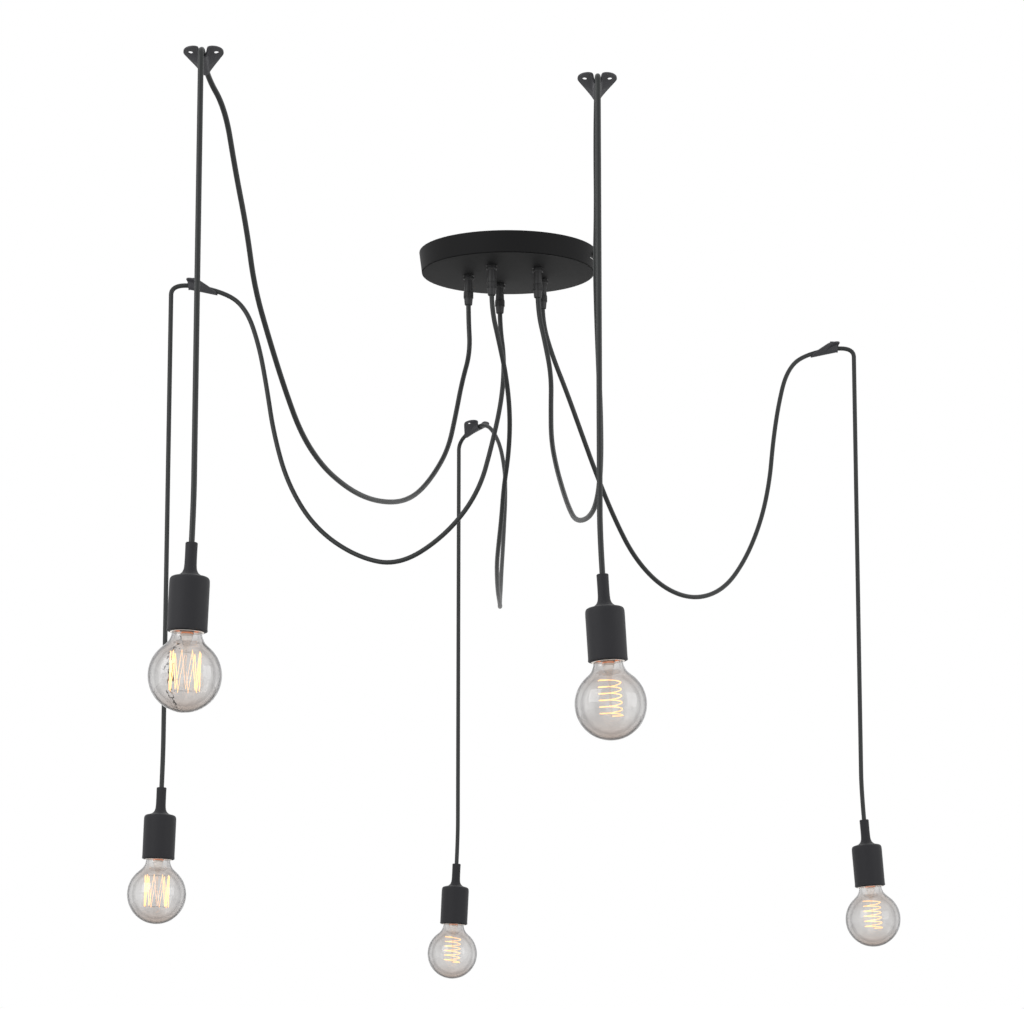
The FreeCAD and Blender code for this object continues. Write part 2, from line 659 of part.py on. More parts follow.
def envelope(neck, globe, top, top_radius, centre, rounding):
    shoulder = top - (neck - top_radius)
    meet = centre + math.sqrt(globe ** 2 - neck ** 2)
    body = post(neck, meet, shoulder).fuse(Part.makeSphere(globe, Vec(0, 0, centre))).removeSplitter()
    edges = [e for e in body.Edges if e.Vertexes and abs(e.BoundBox.ZMax - meet) < FIT_GAP
             and abs(e.BoundBox.ZMin - meet) < FIT_GAP]
    body = body.makeFillet(rounding, edges)
    return body.fuse(Part.makeCone(neck, top_radius, top - shoulder, Vec(0, 0, shoulder))).removeSplitter()


def bulb_glass():
    edge, centre, press = glass_heights()
    outer = envelope(GLASS_NECK, GLOBE_RADIUS, edge, CAP_RADIUS, centre, GLASS_NECK_ROUND)
    inner = envelope(GLASS_NECK - GLASS_WALL, GLOBE_RADIUS - GLASS_WALL, edge - GLASS_WALL,
                     CAP_RADIUS - GLASS_WALL, centre, GLASS_NECK_ROUND + GLASS_WALL)
    tail = CAP_RADIUS - CAP_WALL - FIT_GAP
    plug = post(tail, edge, edge + CAP_HEIGHT / 2)
    stem = lathe([
        (0, edge, 0),
        (STEM_FLARE, edge, 0),
        (STEM_RADIUS, edge - STEM_LENGTH / 4, 0),
        (STEM_RADIUS / 2, press + STEM_LENGTH / 4, 0),
        (STEM_PINCH, press, 0),
        (0, press, 0),
    ])
    rod = post(ROD_RADIUS, press - ROD_LENGTH, press)
    return outer.cut(inner).fuse([plug, stem, rod]).removeSplitter()


# Polyline of thin wire, each run a rod that starts where the one before it ends
def wire_path(points):
    rods = []
    for start, end in zip(points, points[1:]):
        run = end - start
        rods.append(Part.makeCylinder(WIRE / 2, run.Length, start, run))
        rods.append(Part.makeSphere(WIRE / 2, end))
    return rods[0].fuse(rods[1:-1])


def cage_filament():
    _, _, press = glass_heights()
    low = press - ROD_LENGTH
    points = []
    for i in range(2 * CAGE_POINTS):
        angle = math.pi * i / CAGE_POINTS
        height = low + CAGE_HEIGHT * (i % 2)
        points.append(Vec(CAGE_WIDTH / 2 * math.cos(angle), CAGE_WIDTH / 2 * math.sin(angle), height))
    loop = wire_path(points)
    arms = []
    for i in (0, CAGE_POINTS // 2 * 2):
        angle = math.pi * i / CAGE_POINTS
        root = Vec(ROD_RADIUS * math.cos(angle), ROD_RADIUS * math.sin(angle), low + WIRE)
        arms.append(wire_path([root, points[i]]))
    return loop.fuse(arms).removeSplitter()


# Arc that leaves start along the unit vector heading and ends at end
def arc_along(start, heading, end):
    chord = end - start
    along = chord / chord.Length
    side = (heading - along * heading.dot(along)).normalize()
    bulge = chord.Length / 2 * math.tan(heading.getAngle(chord) / 2)
    return Part.Arc(start, (start + end) / 2 + side * bulge, end).toShape()


# Helix about Z as pairs of tangent arcs, one pair for each quarter turn
def helix_wire(radius, pitch, turns):
    edges = []
    slope = math.atan2(pitch, 2 * math.pi * radius)
    quarter = math.pi / 2

    def place(angle):
        return Vec(radius * math.cos(angle), radius * math.sin(angle), pitch * angle / (4 * quarter))

    def heading(angle):
        return Vec(-math.sin(angle) * math.cos(slope), math.cos(angle) * math.cos(slope), math.sin(slope))

    for i in range(4 * turns):
        start, end = place(i * quarter), place((i + 1) * quarter)
        leave, arrive = heading(i * quarter), heading((i + 1) * quarter)
        gap, both = end - start, leave + arrive
        bend = 2 * (1 - leave.dot(arrive))
        reach = (math.sqrt(gap.dot(both) ** 2 + bend * gap.dot(gap)) - gap.dot(both)) / bend
        middle = (start + end + (leave - arrive) * reach) / 2
        edges.append(arc_along(start, leave, middle))
        edges.append(arc_along(end, arrive * -1, middle))
    return Part.Wire(edges)


def coil_filament():
    _, _, press = glass_heights()
    low = press - ROD_LENGTH + WIRE
    pitch = (COIL_HEIGHT - 2 * WIRE) / COIL_TURNS
    wire = helix_wire(COIL_WIDTH / 2, pitch, COIL_TURNS)
    print("coil pitch gap", round(pitch - WIRE, 2))
    ring = Part.Wire(Part.Circle(Vec(COIL_WIDTH / 2, 0, 0), Vec(0, 1, 0), WIRE / 2).toShape())
    coil = wire.makePipeShell([ring], True, False)
    coil.translate(Vec(0, 0, low))
    arms = []
    for height in (low, low + pitch * COIL_TURNS):
        root = Vec(ROD_RADIUS, 0, height)
        arms.append(Part.makeCylinder(WIRE / 2, COIL_WIDTH / 2 - ROD_RADIUS, root, Vec(1, 0, 0)))
    return coil.fuse(arms).removeSplitter()


def build():
    nodes = {
        "canopy_cover": canopy_cover(),
        "ceiling_bracket": ceiling_bracket(),
        "side_screws": side_screws(),
        "terminal_block": terminal_block(),
        "terminal_screws": terminal_screws(),
        "grip_bodies": on_grips(grip_body()),
        "grip_nuts": on_grips(grip_nut()),
        "grip_locknuts": on_grips(grip_locknut()),
    }
    lamp = {
        "holder_sleeve": holder_sleeve(),
        "holder_core": holder_core(),
        "holder_contacts": holder_contacts(),
        "cap_contact": cap_contact(),
        "bulb_cap": bulb_cap(),
        "bulb_glass": bulb_glass(),
    }
    plate = hook_plate()
    filaments = {"cage": cage_filament(), "coil": coil_filament()}
    for number in HOOK_PLACE_SHARES:
        nodes["hook_%d" % number] = hook(plate, number)
        nodes["swag_cord_%d" % number] = swag_cord(number)
        nodes["drop_cord_%d" % number] = drop_cord(number)
        for name, shape in lamp.items():
            nodes["%s_%d" % (name, number)] = on_lamp(shape, number)
        nodes["filament_%d" % number] = on_lamp(filaments[FILAMENTS[number]], number)
    return nodes


os.makedirs("parts", exist_ok=True)
for name, shape in build().items():
    print(name, "solids", len(shape.Solids), "valid", shape.isValid(), "volume", round(shape.Volume))
    shape.exportStep("parts/%s.step" % name)
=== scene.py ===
import bmesh
import bpy
import json
import math
from mathutils import Matrix, Vector
from mathutils.geometry import delaunay_2d_cdt


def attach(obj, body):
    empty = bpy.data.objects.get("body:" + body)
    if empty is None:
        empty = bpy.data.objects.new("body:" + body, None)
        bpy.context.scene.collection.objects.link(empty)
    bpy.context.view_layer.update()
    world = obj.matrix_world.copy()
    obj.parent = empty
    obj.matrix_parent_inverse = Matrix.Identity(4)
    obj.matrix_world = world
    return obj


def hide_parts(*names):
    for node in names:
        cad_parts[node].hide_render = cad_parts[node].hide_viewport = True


# Looks of the five-lamp spider pendant: round ceiling canopy, five swagged cords held up by
# heart-shaped ceiling hooks, silicone lampholders and clear globe bulbs with glowing filaments.
# Metres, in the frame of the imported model: the ceiling is Z = 0 and everything hangs below it.

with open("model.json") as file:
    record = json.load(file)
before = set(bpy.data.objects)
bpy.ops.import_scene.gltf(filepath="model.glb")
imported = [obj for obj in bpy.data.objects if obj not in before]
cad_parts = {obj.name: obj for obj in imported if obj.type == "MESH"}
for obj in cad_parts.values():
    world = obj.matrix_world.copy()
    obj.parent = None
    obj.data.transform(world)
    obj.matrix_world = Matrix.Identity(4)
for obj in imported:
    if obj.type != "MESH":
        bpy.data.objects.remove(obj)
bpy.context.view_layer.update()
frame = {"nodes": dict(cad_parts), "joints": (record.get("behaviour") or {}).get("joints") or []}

MM = 0.001
LAMPS = (1, 2, 3, 4, 5)
CAGE_BULBS = (1, 2)
# The one hook that is turned round, so that the swag comes in over its notch
NOTCH_AT_SWAG = (3,)

joints = {joint["name"]: joint for joint in frame["joints"]}


class Signal:
    """A number flowing through a node tree; plain arithmetic on it adds Math nodes."""

    def __init__(self, graph, socket):
        self.graph = graph
        self.socket = socket

    def _math(self, operation, first, second):
        return self.graph.node("ShaderNodeMath", {"operation": operation}, {0: first, 1: second})

    def __add__(self, other):
        return self._math("ADD", self, other)

    def __sub__(self, other):
        return self._math("SUBTRACT", self, other)

    def __mul__(self, other):
        return self._math("MULTIPLY", self, other)

    def __truediv__(self, other):
        return self._math("DIVIDE", self, other)

    def __mod__(self, other):
        return self._math("MODULO", self, other)

    def __pow__(self, other):
        return self._math("POWER", self, other)

    def most(self, other):
        return self._math("MAXIMUM", self, other)

    __radd__ = __add__


class Graph:
    """A node tree that is written as calls: one call makes one node and gives back one output."""

    def __init__(self, tree):
        self.tree = tree

    def node(self, kind, settings, inputs, out=0):
        made = self.tree.nodes.new(kind)
        for name, value in settings.items():
            if name == "stops":
                self._set_stops(made.color_ramp, value)
            else:
                setattr(made, name, value)
        for key, value in inputs.items():
            self.give(made.inputs[key], value)
        return Signal(self, made.outputs[out])

    def give(self, socket, value):
        if isinstance(value, Signal):
            self.tree.links.new(value.socket, socket)
        else:
            socket.default_value = value

    def _set_stops(self, ramp, stops):
        while len(ramp.elements) < len(stops):
            ramp.elements.new(0.5)
        for element, (place, level) in zip(ramp.elements, stops):
            element.position = place
            element.color = (level, level, level, 1.0)


def colour(value):
    return (*value, 1.0) if len(value) == 3 else value


class Finish(Graph):
    """A surface finish: fixed values on the shader, and varying ones worked out from the place."""

    def __init__(self, name, base, roughness, metallic=0.0, **fixed):
        self.material = bpy.data.materials.new(name)
        self.material.use_nodes = True
        super().__init__(self.material.node_tree)
        self.shader = self.tree.nodes["Principled BSDF"]
        self.feed("Base Color", colour(base))
        self.feed("Roughness", roughness)
        self.feed("Metallic", metallic)
        for key, value in fixed.items():
            self.feed(key.replace("_", " "), value)
        self.base = base
        self.place = self.node("ShaderNodeTexCoord", {}, {}, "Object")

    def feed(self, name, value):
        self.give(self.shader.inputs[name], value)

    def noise(self, scale, detail=2.0, rough=0.5, stretch=(1.0, 1.0, 1.0)):
        where = self.place
        if stretch != (1.0, 1.0, 1.0):
            where = self.node("ShaderNodeMapping", {}, {"Vector": where, "Scale": stretch})
        return self.node("ShaderNodeTexNoise", {}, {"Vector": where, "Scale": scale, "Detail": detail,
                                                   "Roughness": rough})

    def cells(self, scale):
        return self.node("ShaderNodeTexVoronoi", {}, {"Vector": self.place, "Scale": scale})

    def ramp(self, value, stops):
        return self.node("ShaderNodeValToRGB", {"stops": stops}, {0: value})

    def mix(self, share, first, second):
        return self.node("ShaderNodeMix", {"data_type": "RGBA"}, {0: share, 6: first, 7: second}, 2)

    def tones(self, share, other):
        self.feed("Base Color", self.mix(share, colour(self.base), colour(other)))

    def relief(self, height, depth, strength=1.0):
        bump = self.node("ShaderNodeBump", {}, {"Strength": strength, "Distance": depth, "Height": height})
        self.feed("Normal", bump)


class Recipe(Graph):
    """A Geometry Nodes tree with named inputs, run once and baked into a plain mesh."""

    def __init__(self, name, inputs):
        tree = bpy.data.node_groups.new(name, "GeometryNodeTree")
        super().__init__(tree)
        self.name = name
        self.sockets = {}
        self.values = {}
        self.entry = tree.nodes.new("NodeGroupInput")
        for label, value in inputs.items():
            kind = "NodeSocketInt" if isinstance(value, int) else "NodeSocketFloat"
            made = tree.interface.new_socket(label, in_out="INPUT", socket_type=kind)
            self.sockets[label] = made.identifier
            self.values[label] = value
        tree.interface.new_socket("Geometry", in_out="OUTPUT", socket_type="NodeSocketGeometry")

    def input(self, label):
        return Signal(self, self.entry.outputs[label])

    def vector(self, x, y, z):
        return self.node("ShaderNodeCombineXYZ", {}, {0: x, 1: y, 2: z})

    def wire(self, curve, radius):
        ring = self.node("GeometryNodeCurvePrimitiveCircle", {}, {"Resolution": 8, "Radius": radius})
        return self.node("GeometryNodeCurveToMesh", {}, {
            "Curve": curve, "Profile Curve": ring, "Fill Caps": True})

    def join(self, parts):
        made = self.tree.nodes.new("GeometryNodeJoinGeometry")
        for part in parts:
            self.tree.links.new(part.socket, made.inputs[0])
        return Signal(self, made.outputs[0])

    def bake(self, geometry, finish):
        real = self.node("GeometryNodeRealizeInstances", {}, {"Geometry": geometry})
        painted = self.node("GeometryNodeSetMaterial", {}, {"Geometry": real, "Material": finish})
        leave = self.tree.nodes.new("NodeGroupOutput")
        self.tree.links.new(painted.socket, leave.inputs["Geometry"])
        seed = bpy.data.objects.new(self.name, bpy.data.meshes.new(self.name))
        bpy.context.scene.collection.objects.link(seed)
        modifier = seed.modifiers.new("recipe", "NODES")
        modifier.node_group = self.tree
        for label, identifier in self.sockets.items():
            modifier[identifier] = self.values[label]
        bpy.context.view_layer.update()
        graph = bpy.context.evaluated_depsgraph_get()
        mesh = bpy.data.meshes.new_from_object(seed.evaluated_get(graph))
        seed.modifiers.remove(modifier)
        bpy.data.objects.remove(seed)
        return mesh


def canopy_paint():
    paint = Finish("matt_black_powder_coat", (0.005, 0.005, 0.005), 0.6, Specular_IOR_Level=0.15)
    cloud = paint.noise(9.0, 3.0)
    peel = paint.noise(900.0, 2.0)
    grit = paint.noise(2600.0, 1.0)
    paint.tones(cloud * 0.5 + grit * 0.4, (0.009, 0.009, 0.01))
    paint.feed("Roughness", 0.54 + cloud * 0.1 + grit * 0.08)
    paint.relief(peel * 0.7 + grit * 0.3, 0.00012, 0.35)
    return paint.material


def cord_rubber():
    jacket = Finish("black_cord_jacket", (0.011, 0.013, 0.013), 0.4, Specular_IOR_Level=0.38)
    rub = jacket.noise(160.0, 3.0)
    pores = jacket.noise(1900.0, 2.0)
    jacket.tones(rub, (0.024, 0.027, 0.027))
    jacket.feed("Roughness", 0.32 + rub * 0.16 + pores * 0.06)
    jacket.relief(pores, 0.0001, 0.3)
    return jacket.material


def silicone():
    rubber = Finish("charcoal_silicone", (0.019, 0.019, 0.022), 0.6, Specular_IOR_Level=0.24,
                    Sheen_Weight=0.08, Sheen_Roughness=0.5)
    cloud = rubber.noise(45.0, 3.0)
    dust = rubber.ramp(rubber.noise(1400.0, 1.0), [(0.62, 0.0), (0.74, 1.0)])
    pores = rubber.noise(2400.0, 2.0)
    rubber.tones(cloud * 0.6 + dust * 0.35, (0.03, 0.03, 0.034))
    rubber.feed("Roughness", 0.52 + cloud * 0.14 + dust * 0.08)
    rubber.relief(pores, 0.00008, 0.3)
    return rubber.material


def moulded_plastic(name, base, lighter, roughness, level=0.4):
    plastic = Finish(name, base, roughness, Specular_IOR_Level=level)
    cloud = plastic.noise(120.0, 3.0)
    spark = plastic.cells(1500.0)
    plastic.tones(cloud, lighter)
    plastic.feed("Roughness", roughness - 0.06 + cloud * 0.14)
    plastic.relief(spark, 0.00009, 0.25)
    return plastic.material


def plated_steel():
    steel = Finish("zinc_plated_steel", (0.55, 0.56, 0.57), 0.34, 1.0)
    rolled = steel.noise(60.0, 4.0, 0.6, (1.0, 14.0, 14.0))
    bloom = steel.noise(38.0, 3.0)
    steel.tones(bloom, (0.66, 0.66, 0.64))
    steel.feed("Roughness", 0.26 + rolled * 0.12 + bloom * 0.1)
    steel.relief(rolled, 0.00005, 0.2)
    return steel.material


def dark_screw():
    oxide = Finish("black_oxide_steel", (0.035, 0.035, 0.036), 0.42, 0.6)
    wear = oxide.ramp(oxide.noise(420.0, 4.0, 0.6), [(0.5, 0.0), (0.72, 1.0)])
    oxide.tones(wear, (0.12, 0.12, 0.12))
    oxide.feed("Roughness", 0.36 + wear * 0.12)
    return oxide.material


def thread_metal(name, base, darker, roughness, **fixed):
    metal = Finish(name, base, roughness, 1.0, **fixed)
    tarnish = metal.noise(260.0, 4.0, 0.6)
    drawn = metal.noise(90.0, 2.0, 0.5, (1.0, 1.0, 26.0))
    metal.tones(tarnish, darker)
    metal.feed("Roughness", roughness - 0.06 + tarnish * 0.14 + drawn * 0.05)
    metal.relief(drawn, 0.00004, 0.2)
    return metal.material


def white_insulator():
    white = Finish("white_insulator", (0.72, 0.71, 0.68), 0.42, Specular_IOR_Level=0.45)
    cloud = white.noise(150.0, 3.0)
    white.tones(cloud, (0.64, 0.62, 0.58))
    white.feed("Roughness", 0.36 + cloud * 0.12)
    white.relief(white.noise(1300.0, 2.0), 0.00006, 0.2)
    return white.material


def bulb_glass_finish():
    """Blown glass with a smoky tint and random streaks, with painted light: a warm glow, darker, toward its
    poles and a dark reflected edge at the rim.
    """
    glass = Finish("clear_smoke_glass", (0.9, 0.885, 0.9), 0.015, Transmission_Weight=1.0, IOR=1.45)
    streaks = glass.noise(34.0, 3.0, 0.55, (1.0, 1.0, 0.3))
    bands = glass.ramp(streaks, [(0.44, 0.0), (0.6, 1.0)])
    tint_and_painted_glow = glass.mix(bands, (0.83, 0.825, 0.82, 1.0), (0.73, 0.72, 0.715, 1.0))
    normal = glass.node("ShaderNodeNewGeometry", {}, {}, "Normal")
    upright = {0: normal, 1: (0, 0, 1)}
    level = glass.node("ShaderNodeVectorMath", {"operation": "DOT_PRODUCT"}, upright, "Value")
    # Painted light: a warmer, darker colour toward both poles stands in for the filaments' glow reflected in
    # the glass
    tint_and_painted_glow = glass.mix((level * level) ** 1.4, tint_and_painted_glow, (0.69, 0.605, 0.55, 1.0))
    # Painted reflection: the base colour darkens toward the rim, a dark edge that stands in for the
    # surroundings reflected at grazing angles
    slant = glass.node("ShaderNodeLayerWeight", {}, {"Blend": 0.5}, "Facing")
    painted_rim_shade = glass.ramp(slant, [(0.3, 0.0), (0.42, 0.35), (0.5, 0.12), (0.6, 0.2), (0.72, 1.0)])
    glass.feed("Base Color", glass.mix(painted_rim_shade, tint_and_painted_glow, (0.17, 0.165, 0.17, 1.0)))
    glass.relief(streaks, 0.002, 0.45)
    return glass.material


def glowing_wire():
    wire = Finish("glowing_filament", (0.5, 0.3, 0.12), 0.5, Emission_Strength=2.5)
    heat = wire.noise(240.0, 2.0)
    wire.feed("Emission Color", wire.mix(heat, (1.0, 0.4, 0.1, 1.0), (1.0, 0.68, 0.36, 1.0)))
    return wire.material


FINISHES = {
    "canopy_paint": canopy_paint(),
    "plated_steel": plated_steel(),
    "black_screw": dark_screw(),
    "terminal_plastic": moulded_plastic("milky_terminal_nylon", (0.62, 0.61, 0.56), (0.7, 0.69, 0.65), 0.45),
    "brass": thread_metal("terminal_brass", (0.72, 0.5, 0.22), (0.55, 0.36, 0.15), 0.3),
    "grip_plastic": moulded_plastic("black_grip_nylon", (0.014, 0.014, 0.015), (0.026, 0.026, 0.027), 0.42),
    "hook_plastic": moulded_plastic("black_hook_nylon", (0.04, 0.04, 0.045), (0.06, 0.06, 0.067), 0.44),
    "cord_rubber": cord_rubber(),
    "silicone": silicone(),
    "white_insulator": white_insulator(),
    "clear_glass": bulb_glass_finish(),
    "filament_wire": glowing_wire(),
}
COPPER = thread_metal("copper_thread", (0.78, 0.38, 0.2), (0.6, 0.27, 0.13), 0.28)
TIN = thread_metal("tinned_cap", (0.62, 0.6, 0.56), (0.45, 0.42, 0.38), 0.34)
# Painted light: the mouth's copper liner and white rim glow, as if the bulb lit them up
COPPER_PAINTED_GLOW = thread_metal("copper_in_lamp_light", (0.85, 0.42, 0.22), (0.7, 0.3, 0.14), 0.3,
                          Emission_Color=(1.0, 0.28, 0.07, 1.0), Emission_Strength=0.8)
INSULATOR_PAINTED_GLOW = Finish("insulator_in_lamp_light", (0.8, 0.78, 0.74), 0.4,
                       Emission_Color=(1.0, 0.93, 0.86, 1.0), Emission_Strength=0.45).material
SUPPORT_WIRE = Finish("support_wire", (0.3, 0.27, 0.24), 0.4, 1.0).material
STEM_GLASS = Finish("stem_glass", (0.95, 0.9, 0.86), 0.05, Transmission_Weight=1.0, IOR=1.12).material


def finished(piece, body, slot, *nodes, finish=None):
    """Gives a piece its finish, sets it on its body and lets it stand for its CAD nodes."""
    piece.data.materials.clear()
    piece.data.materials.append(finish or FINISHES[slot])
    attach(piece, body)
    if nodes:
        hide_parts(*nodes)
    return piece


def shown(name, mesh, crease=35.0):
    """Puts a mesh in the scene, smooth except where it folds by more than the crease angle."""
    mesh.shade_smooth()
    mesh.set_sharp_from_angle(angle=math.radians(crease))
    piece = bpy.data.objects.new(name, mesh)
    bpy.context.scene.collection.objects.link(piece)
    return piece


def rounded(corners, steps=5):
    """Turns (radius, height, rounding) corners in millimetres into a profile with round corners."""
    flat = [Vector((r, z)) for r, z, _ in corners]
    points = []
    for i, (_, _, rounding) in enumerate(corners):
        here, before, after = flat[i], flat[i - 1], flat[(i + 1) % len(flat)]
        if not rounding:
            points.append(here)
            continue
        back, forth = (before - here).normalized(), (after - here).normalized()
        half = back.angle(forth) / 2
        reach = rounding / math.tan(half)
        centre = here + (back + forth).normalized() * (rounding / math.sin(half))
        first, last = here + back * reach - centre, here + forth * reach - centre
        for k in range(steps + 1):
            points.append(centre + first.slerp(last, k / steps))
    return [(p.x, p.y) for p in points]


def smooth_path(points, steps):
    """Runs a smooth curve through given (radius, height) points."""
    path = []
    padded = [points[0]] + points + [points[-1]]
    for a, b, c, d in zip(padded, padded[1:], padded[2:], padded[3:]):
        for k in range(steps):
            t = k / steps
            path.append(tuple(
                0.5 * (2 * b[i] + (c[i] - a[i]) * t + (2 * a[i] - 5 * b[i] + 4 * c[i] - d[i]) * t * t
                       + (3 * b[i] - a[i] - 3 * c[i] + d[i]) * t ** 3) for i in (0, 1)))
    return path + [points[-1]]


def spin(profile, around, swell=None):
    """Spins a closed (radius, height) profile in millimetres about Z and gives a closed mesh."""
    shape = bmesh.new()
    rings = []
    for r, z in profile:
        if r < 1e-6:
            rings.append([shape.verts.new((0, 0, z * MM))] * around)
            continue
        ring = []
        for k in range(around):
            angle = 2 * math.pi * k / around
            reach = (r + (swell(r, z, angle) if swell else 0.0)) * MM
            ring.append(shape.verts.new((reach * math.cos(angle), reach * math.sin(angle), z * MM)))
        rings.append(ring)
    for ring, below in zip(rings, rings[1:] + rings[:1]):
        for k in range(around):
            corners = [ring[k], ring[k - 1], below[k - 1], below[k]]
            corners = [c for i, c in enumerate(corners) if c not in corners[:i]]
            if len(corners) > 2:
                shape.faces.new(corners)
    bmesh.ops.recalc_face_normals(shape, faces=shape.faces)
    mesh = bpy.data.meshes.new("spun")
    shape.to_mesh(mesh)
    shape.free()
    return mesh


def joined(meshes):
    shape = bmesh.new()
    for mesh in meshes:
        shape.from_mesh(mesh)
    whole = bpy.data.meshes.new("joined")
    shape.to_mesh(whole)
    shape.free()
    return whole


def lamp_place(number):
    """Matrix of the lamp's own frame: its origin is the top of the lampholder, -Z points down it."""
    turn = joints["bulb_turn_%d" % number]
    lean = Vector((0, 0, -1)).rotation_difference(Vector(turn["axis"]))
    return Matrix.Translation(turn["pos_m"]) @ lean.to_matrix().to_4x4()


def hook_place(number):
    """Matrix of the hook's own frame: X points along the cord towards the lamp, Z = 0 is the ceiling."""
    swing = joints["pendant_swing_%d" % number]
    x, y, _ = swing["pos_m"]
    across, along = swing["axis"][1], swing["axis"][0]
    return Matrix.Translation((x, y, 0)) @ Matrix.Rotation(math.atan2(across, along), 4, "Z")


# Control points of the swags, the same as in their CAD routes, from inside each grip to the middle
# of its hook
SWAGS = {
    1: [(-0.0537, 0.0056, -0.061), (-0.0537, 0.0056, -0.09), (-0.051, 0.003, -0.137),
        (-0.062, -0.015, -0.183), (-0.07, -0.042, -0.235), (-0.079, -0.079, -0.288),
        (-0.097, -0.126, -0.332), (-0.116, -0.184, -0.368), (-0.135, -0.248, -0.391),
        (-0.157, -0.314, -0.404), (-0.179, -0.381, -0.41), (-0.201, -0.449, -0.408),
        (-0.224, -0.516, -0.397), (-0.245, -0.578, -0.372), (-0.261, -0.633, -0.332),
        (-0.277, -0.682, -0.283), (-0.293, -0.723, -0.228), (-0.3, -0.757, -0.169),
        (-0.312, -0.792, -0.106), (-0.321, -0.832, -0.046), (-0.34, -0.869, -0.0179),
        (-0.34, -0.903, -0.0107)],
    2: [(-0.0112, 0.0528, -0.061), (-0.0112, 0.0528, -0.09), (-0.005, 0.054, -0.135),
        (-0.008, 0.055, -0.189), (-0.021, 0.058, -0.251), (-0.04, 0.063, -0.32),
        (-0.085, 0.074, -0.377), (-0.148, 0.087, -0.416), (-0.206, 0.103, -0.402),
        (-0.264, 0.117, -0.36), (-0.303, 0.125, -0.297), (-0.324, 0.131, -0.224),
        (-0.335, 0.136, -0.155), (-0.347, 0.142, -0.094), (-0.365, 0.147, -0.043),
        (-0.394, 0.151, -0.0179), (-0.428, 0.151, -0.0107)],
    3: [(-0.022, -0.0493, -0.061), (-0.022, -0.0493, -0.09), (-0.012, -0.04, -0.133),
        (-0.002, -0.018, -0.177), (0.003, 0.018, -0.222), (0.001, 0.06, -0.266),
        (-0.006, 0.108, -0.304), (-0.009, 0.16, -0.335), (-0.013, 0.218, -0.36),
        (-0.016, 0.281, -0.378), (-0.016, 0.348, -0.39), (-0.015, 0.418, -0.398), (-0.013, 0.488, -0.4),
        (-0.012, 0.558, -0.397), (-0.013, 0.627, -0.386), (-0.013, 0.694, -0.366),
        (-0.012, 0.757, -0.337), (-0.011, 0.815, -0.3), (-0.009, 0.869, -0.256),
        (-0.007, 0.917, -0.207), (-0.005, 0.961, -0.154), (-0.006, 1.001, -0.101),
        (-0.016, 1.044, -0.043), (-0.0385, 1.0871, -0.0035), (-0.058, 1.115, -0.0107)],
    4: [(0.0401, -0.0361, -0.061), (0.0401, -0.0361, -0.09), (0.05, -0.04, -0.135),
        (0.058, -0.053, -0.183), (0.057, -0.077, -0.233), (0.057, -0.113, -0.283),
        (0.063, -0.159, -0.328), (0.07, -0.214, -0.367), (0.077, -0.275, -0.403),
        (0.085, -0.338, -0.433), (0.1, -0.405, -0.442), (0.109, -0.472, -0.434), (0.112, -0.53, -0.404),
        (0.111, -0.58, -0.359), (0.108, -0.621, -0.306), (0.105, -0.656, -0.249),
        (0.103, -0.686, -0.19), (0.104, -0.712, -0.13), (0.103, -0.737, -0.069),
        (0.103, -0.77, -0.0179), (0.103, -0.804, -0.0107)],
    5: [(0.0468, 0.027, -0.061), (0.0468, 0.027, -0.09), (0.06, 0.033, -0.135), (0.08, 0.048, -0.183),
        (0.099, 0.069, -0.232), (0.12, 0.096, -0.285), (0.145, 0.135, -0.339), (0.175, 0.183, -0.389),
        (0.216, 0.237, -0.422), (0.263, 0.297, -0.429), (0.308, 0.353, -0.406), (0.342, 0.398, -0.356),
        (0.368, 0.43, -0.293), (0.383, 0.452, -0.229), (0.39, 0.47, -0.166), (0.4, 0.488, -0.106),
        (0.414, 0.508, -0.051), (0.441, 0.54, -0.0179), (0.475, 0.54, -0.0107)],
}
# And of the drops, from the middle of each hook down to the lampholder. They have two points more
# than the CAD routes have, below the hook and above the lampholder, which keep the long run straight
DROPS = {
    1: [(-0.34, -0.903, -0.0107), (-0.34, -0.946, -0.0016), (-0.34, -0.946, -0.0406),
        (-0.34, -0.946, -0.47), (-0.34, -0.946, -0.525), (-0.3419, -0.946, -0.58)],
    2: [(-0.428, 0.151, -0.0107), (-0.471, 0.151, -0.0016), (-0.471, 0.151, -0.0406),
        (-0.471, 0.151, -0.614), (-0.471, 0.151, -0.669), (-0.4726, 0.151, -0.724)],
    3: [(-0.058, 1.115, -0.0107), (-0.0827, 1.1502, -0.0199), (-0.0827, 1.1502, -0.0589),
        (-0.0827, 1.1502, -0.627), (-0.0827, 1.1502, -0.682), (-0.0852, 1.1502, -0.737)],
    4: [(0.103, -0.804, -0.0107), (0.103, -0.847, -0.0016), (0.103, -0.847, -0.0406),
        (0.103, -0.847, -0.488), (0.103, -0.847, -0.543), (0.1063, -0.847, -0.598)],
    5: [(0.475, 0.54, -0.0107), (0.518, 0.54, -0.0016), (0.518, 0.54, -0.0406), (0.518, 0.54, -0.618),
        (0.518, 0.54, -0.673), (0.522, 0.54, -0.728)],
}
CORD = 0.0065


def cord_curve(name, points):
    data = bpy.data.curves.new(name, "CURVE")
    data.dimensions = "3D"
    data.bevel_depth = CORD / 2
    data.bevel_resolution = 5
    data.resolution_u = 10
    data.use_fill_caps = True
    line = data.splines.new("NURBS")
    line.points.add(len(points) - 1)
    for point, place in zip(line.points, points):
        point.co = (*place, 1.0)
    line.order_u = 3
    line.use_endpoint_u = True
    piece = bpy.data.objects.new(name, data)
    bpy.context.scene.collection.objects.link(piece)
    return piece


